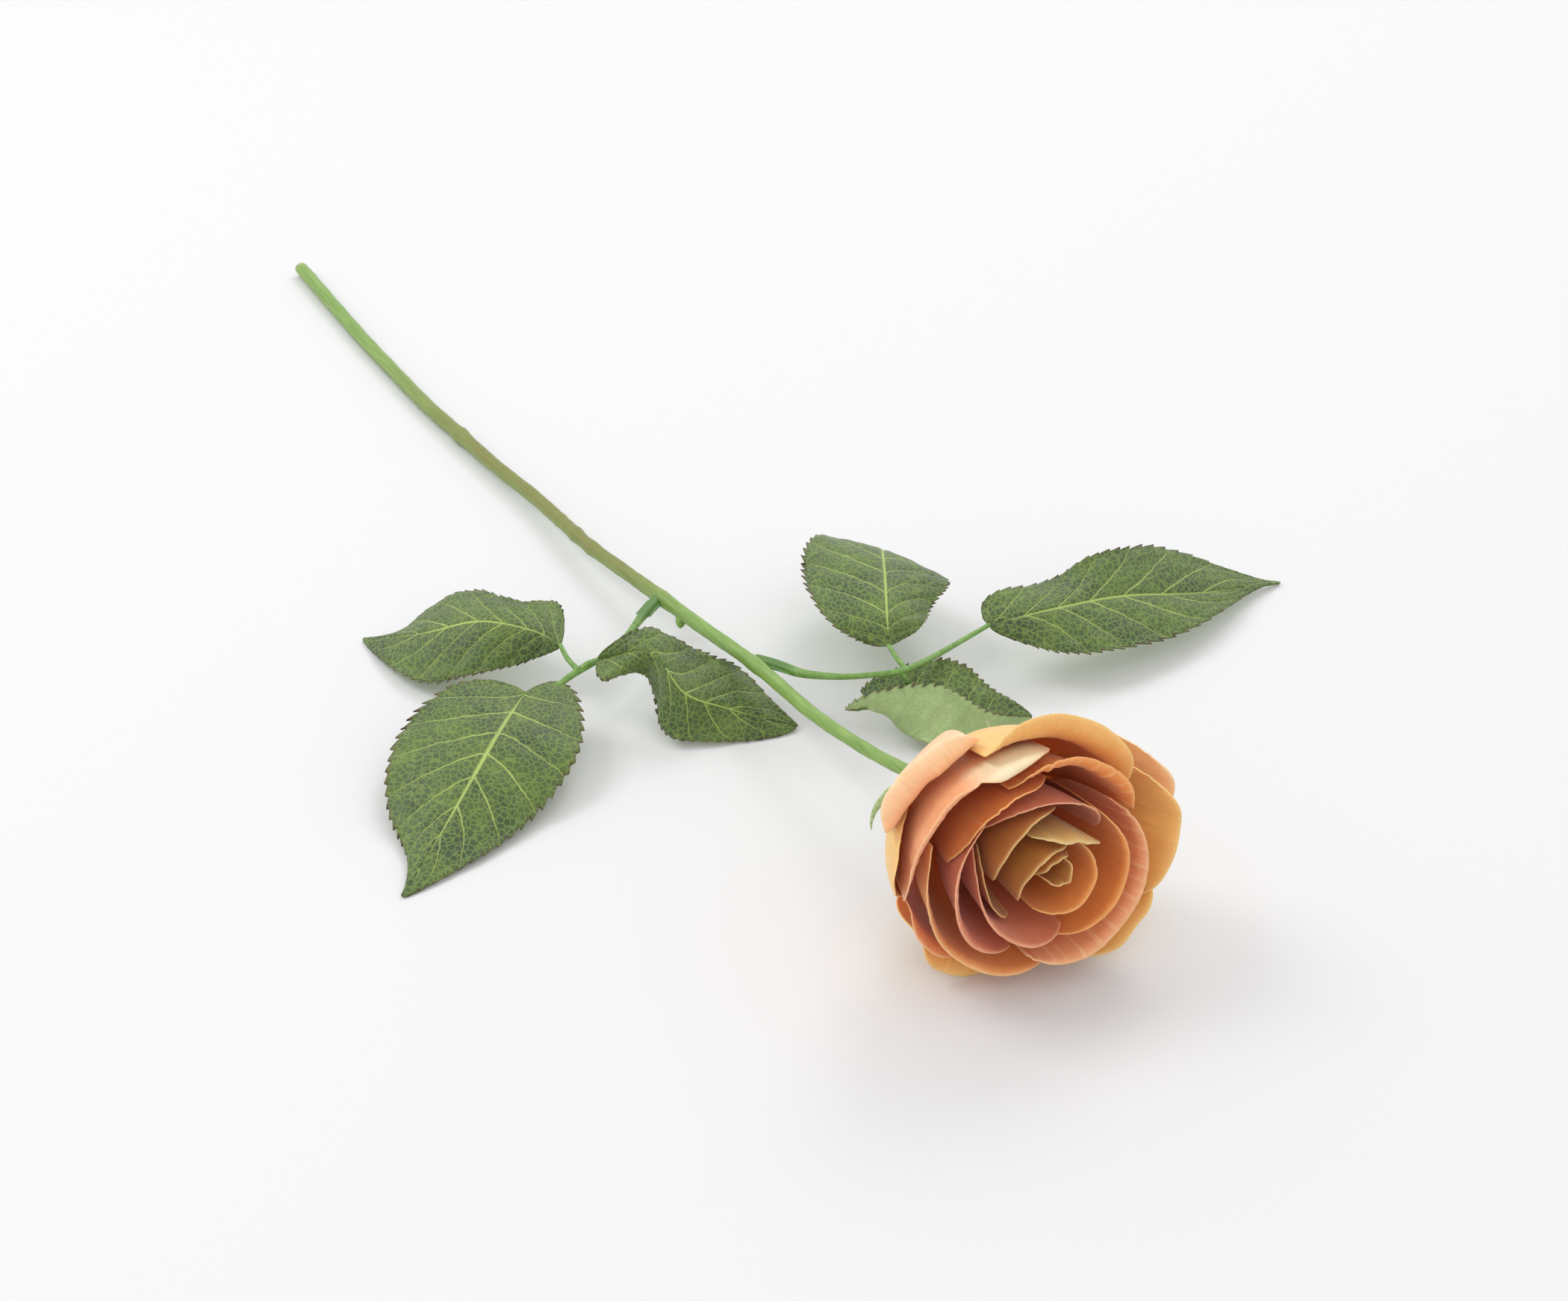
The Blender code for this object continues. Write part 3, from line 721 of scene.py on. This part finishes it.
def hip_points():
    """The turned profile, whose radius has ten soft ribs as a small cosine of the turn."""
    rows = along(HIP_PROFILE, np.linspace(0.0, 1.0, HIP_RINGS))
    turn = np.linspace(0.0, 2 * np.pi, HIP_SIDES, endpoint=False)[None]
    ribs = 1 + 0.03 * np.cos(10 * turn) * np.sin(np.linspace(0.0, np.pi, HIP_RINGS))[:, None]
    wall = in_flower(rows[:, :1] * ribs, turn + 0 * rows[:, :1], rows[:, 1:] + 0 * turn)
    ends = in_flower(np.zeros(2), np.zeros(2), rows[[0, -1], 1])
    return np.concatenate([wall.reshape(-1, 3), ends])


points = hip_points()
faces = grid_faces(HIP_RINGS, HIP_SIDES, True).tolist()
crown = (HIP_RINGS - 1) * HIP_SIDES
for first, centre in ((0, HIP_RINGS * HIP_SIDES), (crown, HIP_RINGS * HIP_SIDES + 1)):
    faces += [(first + k, first + (k + 1) % HIP_SIDES, centre) for k in range(HIP_SIDES)]
hip = mesh_piece("rose_hip", metres(points), faces, {"margin": np.zeros(len(points))}, None, [calyx_out])
face_out(hip)
stands_for(hip, "receptacle")


def sepal_grid(sepal, rows=90, columns=25):
    """A sepal whose spine turns steadily outwards and back, and whose width narrows to a fine tip.

    Small lobes stand on its margins, its middle is hollowed, and it twists a little to its tip.
    """
    v = np.linspace(0.0, 1.0, rows)[:, None]
    u = np.linspace(-1.0, 1.0, columns)[None]
    lean = np.radians(sepal.lean)
    bend = np.radians(sepal.bend)
    angle = lean + bend * v * np.linspace(0.0, 1.0, 40)[None]
    radius = SEPAL_FOOT[0] + np.sin(angle).mean(axis=1, keepdims=True) * sepal.length * v
    height = SEPAL_FOOT[1] + np.cos(angle).mean(axis=1, keepdims=True) * sepal.length * v
    lobes = 1 + 0.14 * np.sin(v * 34.0 + np.sign(u)) * np.abs(u) ** 6 * smooth_step(0.2, 0.4, v)
    taper = (0.04 + 0.96 * (1 - v) ** 0.8) * (0.6 + 0.4 * np.clip(v / 0.2, 0.0, 1.0))
    half = sepal.half_width * taper * lobes
    hollow = 0.9 * (u**2 - 0.5) * taper
    radius = radius + hollow * np.cos(lean + bend * v)
    height = height - hollow * np.sin(lean + bend * v)
    sideways = half * u * np.cos(sepal.twist * v * 2)
    lift = half * u * np.sin(sepal.twist * v * 2)
    azimuth = np.radians(sepal.azimuth + sepal.swing * v**2) + sideways / np.maximum(radius, SEPAL_FOOT[0])
    return in_flower(radius, azimuth, height + lift), smooth_step(0.7, 1.0, np.abs(u)) + 0 * v


for name, sepal in SEPALS.items():
    points, margin = sepal_grid(sepal)
    faces = grid_faces(*points.shape[:2], False).tolist()
    finishes = [calyx_out, calyx_in]
    piece = mesh_piece("calyx_" + name, metres(points), faces, {"margin": margin}, None, finishes)
    thickened(piece, SEPAL_THICK)
    stands_for(piece, name)


# ---------------------------------------------------------------------------------------------
# Petals. Twenty-four dyed cloth blades nest round the heart, with rims rolled out and crimped by
# heat. On a real one each is glued to the hip by its foot; here the feet end a little above the hip.
# ---------------------------------------------------------------------------------------------

# Angles in degrees, lengths in millimetres; three values mean left corner, middle, right corner.
# Layer orders the petals from the heart out. curl is how far the rim rolls, outwards if positive, and
# side_drop how much lower the petal ends at its sides. wave bends the rim in and out, crimp is the
# depth of its fine wrinkles, and point draws its middle out. A low roundness gives a pointed petal,
# and fold turns part of the left half of the rim inwards, over the petal.
Petal = namedtuple(
    "Petal",
    "azimuth half_width layer rim_radius rim_height curl curl_radius side_drop wave crimp point dye"
    " roundness fold",
    defaults=(3.5, 0.0),
)
PETALS = {
    "heart_1": Petal(310, 120, 0.02, (3, 3.5, 5), (56, 57, 56), 0, 4, 0.06, 0.9, 0.20, 0.5, "tan"),
    "heart_2": Petal(100, 80, 0.06, (7, 6, 5), (54, 58, 56), 0, 4, 0.10, 0.6, 0.10, 0.5, "tan"),
    "heart_3": Petal(135, 78, 0.10, (10, 9, 13), (58, 58, 54), 0, 5, 0.06, 0.6, 0.12, 0, "tan"),
    "heart_4": Petal(65, 50, 0.18, (16, 12.5, 15), (55, 57, 56), -50, 4, 0.1, 0.6, 0.2, 0, "olive"),
    "heart_5": Petal(125, 52, 0.23, (18, 18.5, 17), (54, 55, 54), 0, 4, 0.10, 0.5, 0.12, 0, "tan"),
    "heart_6": Petal(195, 44, 0.26, (20, 19, 19), (49, 49, 49), 0, 4, 0.15, 0.3, 0.12, 0, "tan"),
    "inner_1": Petal(330, 95, 0.14, (12, 11, 11), (56, 56, 53), 40, 3, 0.10, 0.4, 0.2, 0, "rust"),
    "inner_2": Petal(215, 66, 0.32, (22.5, 22, 21), (47, 53, 53), 40, 3, 0.12, 0.3, 0.12, 0, "dusty"),
    "inner_3": Petal(75, 62, 0.36, (20, 21, 22), (52, 53, 49), 30, 3, 0.15, 0.5, 0.2, 0, "dusty"),
    "inner_4": Petal(186, 60, 0.41, (24.5, 28.5, 27), (48, 49, 46), 50, 4, 0.1, 0.3, 0.1, 0, "dusty"),
    "inner_5": Petal(120, 45, 0.45, (25, 26.5, 29), (48, 50, 47), 50, 3, 0.16, 0.5, 0.3, 0, "rust"),
    "middle_1": Petal(335, 65, 0.49, (22, 23, 21), (53, 53, 52), 50, 3, 0.1, 0.4, 0.2, 0, "rust"),
    "middle_2": Petal(318, 68, 0.55, (27, 31.5, 27), (51, 49, 46), 60, 4, 0.08, 0.5, 0.45, 0, "salmon"),
    "middle_3": Petal(62, 46, 0.61, (30, 29.5, 28), (50, 48, 47), 70, 5, 0.1, 0.5, 0.45, 0, "rust"),
    "middle_4": Petal(
        129, 54, 0.70, (32, 35.5, 38.5), (46, 45, 38), 60, 6, 0.1, 0.9, 0.2, 0, "salmon", fold=1.0
    ),
    "middle_5": Petal(218, 62, 0.64, (33.5, 34, 33), (42, 43, 42), 50, 4, 0.08, 0.5, 0.15, 0, "orange"),
    "outer_1": Petal(352, 36, 0.76, (40, 42, 40), (44, 46, 44), 30, 8, 0.20, 1.2, 0.2, 0, "gold"),
    "outer_2": Petal(65, 43, 0.80, (33, 34, 35), (40, 38, 38), 100, 7, 0.14, 1.0, 0.15, 0, "gold"),
    "outer_3": Petal(171, 25, 0.84, (33.5, 41, 35.5), (33, 36, 35), 25, 12, 0.35, 0.3, 0.2, 0, "gold", 1.3),
    "outer_4": Petal(313, 34, 0.87, (40, 42, 40), (43, 43, 40), 30, 8, 0.30, 1.0, 0.2, 0, "gold"),
    "outer_5": Petal(131, 27, 0.91, (35, 35.5, 38), (30, 29, 26), 150, 5.2, 0.14, 0.6, 0.1, 0, "peach"),
    "outer_6": Petal(212, 28, 0.77, (36, 36, 35), (33, 33, 32), 50, 6, 0.25, 0.6, 0.15, 0, "salmon"),
    "outer_7": Petal(8, 28, 0.96, (43, 46, 43), (36, 39, 38), 30, 8, 0.32, 0.6, 0.15, 0, "peach", 2.0),
    "outer_8": Petal(238, 28, 0.99, (37, 36, 32.8), (27, 27, 28), 110, 5, 0.3, 0.5, 0.15, 0, "gold"),
}
PETAL_ROWS = 90
PETAL_COLUMNS = 97
PETAL_THICK = 0.38
# The foot of a petal at the heart, and how it changes to the outermost layer.
FOOT_RADIUS = 2.0
FOOT_RADIUS_GAIN = 6.5
FOOT_HEIGHT = 11.0
FOOT_HEIGHT_DROP = 10.0
FOOT_WIDTH_SHARE = 0.35
FULL_WIDTH_AT = 0.6
# The two pulls of the curve that each petal follows from its foot to its rim.
BELLY = 4.0
BELLY_GAIN = 33.0
BELLY_POWER = 0.9
LOWER_OUT = 0.95
LOWER_EXTRA = 1.5
LOWER_UP = 0.10
UPPER_OUT = 0.45
UPPER_UP = 0.66
# How fast and how tall each wave runs across a petal, and the length and share of each wrinkle.
SLOW_WAVES = ((3.1, 1.0), (6.3, 0.6), (11.0, 0.3))
RAGGED_WAVES = ((5.0, 0.5), (12.0, 0.35))
WRINKLES = ((4.6, 0.45), (2.7, 0.35), (1.7, 0.2))
WAVE_OUT = 0.45
WAVE_UP = 0.9
DENT_SHARE = 0.25
# How strongly the painted highlight shows along the rim and on the tops of wrinkles.
RIM_HIGHLIGHT = 0.5
RIDGE_HIGHLIGHT = 0.55
FOLD_AT = -0.62
FOLD_REACH = 0.42
FOLD_ANGLE = 100.0
FOLD_RADIUS = 2.3
FOLD_CREAM = linear(255, 240, 204)

# Each dye: deep at the foot, the body, the painted highlight at the thin edge and on wrinkle tops, and the
# back of the petal.
DYES_AND_HIGHLIGHTS = {
    "tan": (linear(140, 84, 30), linear(202, 146, 78), linear(244, 214, 150), linear(190, 126, 58)),
    "olive": (linear(150, 104, 48), linear(212, 180, 112), linear(244, 222, 160), linear(200, 160, 92)),
    "dusty": (linear(190, 92, 50), linear(226, 142, 108), linear(244, 190, 150), linear(214, 128, 94)),
    "rust": (linear(204, 96, 28), linear(236, 150, 78), linear(248, 194, 124), linear(226, 136, 66)),
    "salmon": (linear(232, 130, 58), linear(242, 168, 122), linear(252, 208, 160), linear(242, 170, 122)),
    "orange": (linear(236, 124, 40), linear(246, 172, 104), linear(254, 212, 160), linear(244, 168, 100)),
    "gold": (linear(238, 150, 60), linear(242, 190, 112), linear(250, 218, 152), linear(244, 196, 118)),
    "peach": (linear(246, 176, 98), linear(254, 210, 168), linear(255, 228, 196), linear(252, 208, 166)),
}


def across_rim(three, u):
    """The parabola through the left corner, the middle and the right corner."""
    left, middle, right = three
    return middle + (right - left) / 2 * u + ((right + left) / 2 - middle) * u * u


def bezier(k, start, one, two, end):
    """One coordinate of a cubic Bezier curve at k, 0 to 1."""
    return (1 - k) ** 3 * start + 3 * k * (1 - k) ** 2 * one + 3 * k * k * (1 - k) * two + k**3 * end


def waves_across(u, waves, turns):
    """The sum of sines across a petal: each is as tall as told, at its own speed and start."""
    return sum(tall * np.sin(fast * u + turn) for (fast, tall), turn in zip(waves, turns))


def petal_grid(petal, seed):
    """A petal's points, three patterns on them, and its cloth map.

    The patterns are how far each point lies from foot to rim, the tops of wrinkles, which get a painted
    highlight, and the fold.

    In the plane through the flower's axis it is a Bezier curve that bellies out from the foot and
    reaches up to the rim, then an arc that rolls the rim over. Waves of a few cycles across move the
    rim in and out, and fine wrinkles that run down from the rim lift the surface along its normal.
    """
    v = np.linspace(0.0, 1.0, PETAL_ROWS)[:, None]
    u = np.linspace(-1.0, 1.0, PETAL_COLUMNS)[None]
    turns = np.random.default_rng(seed).uniform(0.0, 2 * np.pi, 12)
    slow = waves_across(u, SLOW_WAVES, turns[:3])
    ragged = waves_across(u, RAGGED_WAVES, turns[3:5])
    rim_r = across_rim(petal.rim_radius, u)
    rim_h = across_rim(petal.rim_height, u) + WAVE_UP * petal.wave * ragged
    rim_h = rim_h + petal.point * bump_at(0.0, 0.3, u)
    folded = petal.fold * np.exp(-(((u - FOLD_AT) / FOLD_REACH) ** 4))
    curl = np.radians(petal.curl * (1 - folded) - FOLD_ANGLE * folded)
    roll = petal.curl_radius * (1 - folded) + FOLD_RADIUS * folded
    foot_r = FOOT_RADIUS + FOOT_RADIUS_GAIN * petal.layer
    foot_h = FOOT_HEIGHT - FOOT_HEIGHT_DROP * petal.layer
    belly = BELLY + BELLY_GAIN * petal.layer**BELLY_POWER
    upper_r = UPPER_OUT * belly + (1 - UPPER_OUT) * rim_r
    reach = (foot_r, belly * LOWER_OUT + LOWER_EXTRA, upper_r, rim_r)
    climb = (foot_h, foot_h + LOWER_UP * rim_h, UPPER_UP * rim_h, rim_h)
    steps = np.linspace(0.0, 1.0, 25)[:, None]
    legs = np.hypot(np.diff(bezier(steps, *reach), axis=0), np.diff(bezier(steps, *climb), axis=0))
    straight = legs.sum(axis=0)[None]
    rolled = np.abs(curl) * roll
    t = v * (1 - petal.side_drop * np.abs(u) ** petal.roundness)
    run = t * (straight + rolled)
    k = np.minimum(run / straight, 1.0)
    way = np.where(curl < 0, -1.0, 1.0)
    start = np.arctan2(rim_r - reach[2], rim_h - climb[2])
    end = start + way * np.maximum(run - straight, 0.0) / roll
    radius = bezier(k, *reach) + way * roll * (np.cos(start) - np.cos(end))
    height = bezier(k, *climb) + way * roll * (np.sin(end) - np.sin(start))
    radius = radius + petal.wave * WAVE_OUT * slow * smooth_step(0.45, 1.0, v)
    opening = np.sin(np.pi / 2 * np.minimum(t / FULL_WIDTH_AT, 1.0))
    spread = FOOT_WIDTH_SHARE + (1 - FOOT_WIDTH_SHARE) * opening
    azimuth = np.radians(petal.azimuth) + np.radians(petal.half_width) * spread * u
    points = in_flower(radius, azimuth, height)
    normal = np.cross(np.gradient(points, axis=0), np.gradient(points, axis=1))
    normal /= np.linalg.norm(normal, axis=-1, keepdims=True) + 1e-12
    arc = u * np.radians(petal.half_width) * np.mean(petal.rim_radius)
    wrinkle = 0 * radius
    for (length, share), start_turn, other in zip(WRINKLES, turns[5:11:2], turns[6:12:2]):
        drift = 0.9 * np.sin(v * 5.0 + start_turn) + 0.6 * np.sin(arc * 0.21 + other)
        wrinkle += share * np.sin(2 * np.pi * arc / length + drift + start_turn)
    depth = petal.crimp * smooth_step(0.35, 0.98, v) * (0.55 + 0.45 * np.sin(arc * 0.33 + turns[11]))
    dent = DENT_SHARE * np.sin(4.2 * v + 2.3 * u + turns[6]) * np.sin(3.4 * u - 2.0 * v + turns[8])
    points = points + normal * (wrinkle * depth + dent * petal.wave)[..., None]
    # The wrinkle tops near the rim, where the dye gets a painted highlight.
    ridges = smooth_step(0.25, 0.9, wrinkle) * smooth_step(0.6, 0.9, v) * smooth_step(0.2, 0.45, petal.crimp)
    cream = folded * smooth_step(0.72, 0.8, v)
    return points, (t, ridges, cream), np.stack([arc / 100 + 0.5 + 0 * v, run / 100], axis=-1)


def dye_and_highlight_on(t, ridges, cream, petal):
    """The colour of both faces: deep at the foot, then the body, and a thin pale line at the rim.

    The pale rim line and the pale tops of deep wrinkles are painted highlights, and the back of a folded rim
    is cream.
    """
    deep, body, highlight_colour, back = DYES_AND_HIGHLIGHTS[petal.dye]
    u = np.abs(np.linspace(-1.0, 1.0, PETAL_COLUMNS))[None]
    v = np.linspace(0.0, 1.0, PETAL_ROWS)[:, None]
    # Painted highlight: a thin pale line along the rim and on the tops of deep wrinkles.
    highlight_line = np.maximum(smooth_step(0.972, 0.998, v), smooth_step(0.965, 0.998, u) * smooth_step(0.5, 0.8, v))
    highlight_line = np.maximum(RIM_HIGHLIGHT * highlight_line, RIDGE_HIGHLIGHT * ridges)[..., None]
    rise = smooth_step(0.25, 0.85, t)[..., None]
    front = deep * (1 - rise) + body * rise
    low = 0.5 + 0.5 * smooth_step(0.05, 0.6, t)[..., None]
    rear = deep * (1 - low) + back * low
    rear = rear * (1 - cream[..., None]) + FOLD_CREAM * cream[..., None]
    return front * (1 - highlight_line) + highlight_colour * highlight_line, rear * (1 - highlight_line) + highlight_colour * highlight_line


def petal_finish(name, pattern):
    """Petal cloth: the dye, fine lengthwise streaks, cloudy shade and a soft satin face."""
    material, shader, tree = new_finish(
        name, Specular_IOR_Level=0.35, Subsurface_Weight=0.25, Subsurface_Scale=0.002, Sheen_Weight=0.15
    )
    shader.inputs["Subsurface Radius"].default_value = (1.0, 0.45, 0.2)
    cloth_map = add_node(tree, "ShaderNodeUVMap", {"uv_map": "petal"}).outputs["UV"]
    stretched = add_node(tree, "ShaderNodeMapping", None, Vector=cloth_map, Scale=(1.0, 0.12, 1.0))
    streaks = noise(tree, stretched.outputs["Vector"], 110.0, 4.0)
    cloud = noise(tree, place_of(tree), 90.0)
    shaded = ramp(tree, cloud, (0.25, linear(238, 228, 220)), (0.7, linear(255, 255, 255)))
    combed = ramp(tree, streaks, (0.3, linear(232, 220, 212)), (0.65, linear(255, 255, 255)))
    once = mix(tree, 0.7, value_of(tree, pattern, "Color"), shaded, "MULTIPLY")
    tree.links.new(mix(tree, 0.35, once, combed, "MULTIPLY"), shader.inputs["Base Color"])
    tree.links.new(maths(tree, "MULTIPLY_ADD", streaks, 0.2, 0.42), shader.inputs["Roughness"])
    grain = noise(tree, place_of(tree), 2400.0, 1.0)
    relief(tree, shader, maths(tree, "MULTIPLY_ADD", grain, 0.15, streaks), 0.35, 0.0004)
    return material


petal_front = petal_finish("petal_front", "front_dye_and_highlight")
petal_back = petal_finish("petal_back", "back_dye_and_highlight")

for number, (name, petal) in enumerate(PETALS.items()):
    points, marks, spots = petal_grid(petal, 100 + number)
    front, rear = dye_and_highlight_on(*marks, petal)
    faces = grid_faces(PETAL_ROWS, PETAL_COLUMNS, False)[:, ::-1].tolist()
    dyes_and_highlights = {"front_dye_and_highlight": front, "back_dye_and_highlight": rear}
    part, index = name.split("_")
    label = f"{part}_petal_{index}"
    piece = mesh_piece(label, metres(points), faces, dyes_and_highlights, {"petal": spots}, [petal_front, petal_back])
    thickened(piece, PETAL_THICK)
    stands_for(piece, "petal_" + name)


# ---------------------------------------------------------------------------------------------
# The table, the light and the view. The rose lies on a plain white table under soft studio light.
# ---------------------------------------------------------------------------------------------

TABLE_HALF = 6.0
TABLE_DROP = 0.0002
points = np.array([(-1, -1, 0), (1, -1, 0), (1, 1, 0), (-1, 1, 0)], float) * TABLE_HALF
points[:, 2] = -TABLE_DROP
table_finish, shader, tree = new_finish("table_white", Roughness=0.7)
shader.inputs["Base Color"].default_value = (0.72, 0.72, 0.725, 1.0)
table = mesh_piece("table", points, [(0, 1, 2, 3)], None, None, [table_finish])


def soft_box(name, place, size, power, aim=(0.0, -0.1, 0.03)):
    """A square area light that faces the rose."""
    lamp = bpy.data.lights.new(name, "AREA")
    lamp.shape = "SQUARE"
    lamp.size = size
    lamp.energy = power
    holder = bpy.data.objects.new(name, lamp)
    holder.location = place
    holder.rotation_euler = (Vector(aim) - Vector(place)).to_track_quat("-Z", "Y").to_euler()
    bpy.context.scene.collection.objects.link(holder)


soft_box("light_left", (-1.1, 0.9, 1.7), 0.9, 14.0)
soft_box("light_right", (1.2, 0.8, 1.6), 0.9, 9.0)
soft_box("light_front", (-0.5, -1.6, 1.5), 1.6, 6.0)

world = bpy.data.worlds.new("studio")
world.use_nodes = True
world.node_tree.nodes["Background"].inputs["Color"].default_value = (1.0, 1.0, 1.0, 1.0)
world.node_tree.nodes["Background"].inputs["Strength"].default_value = 0.9
bpy.context.scene.world = world
bpy.context.scene.view_settings.view_transform = "Standard"

VIEW_HEADING = np.radians(30.96)
VIEW_DOWN = np.radians(33.0)
camera = bpy.data.cameras.new("view")
camera.lens = 72.0
camera.sensor_width = 36.0
camera.clip_start = 0.05
camera.clip_end = 50.0
stand = bpy.data.objects.new("view", camera)
stand.location = metres((-424.2, -564.6, 565.2))
flat = np.cos(VIEW_DOWN)
ahead = Vector((np.sin(VIEW_HEADING) * flat, np.cos(VIEW_HEADING) * flat, -np.sin(VIEW_DOWN)))
stand.rotation_euler = ahead.to_track_quat("-Z", "Y").to_euler()
bpy.context.scene.collection.objects.link(stand)
bpy.context.scene.camera = stand
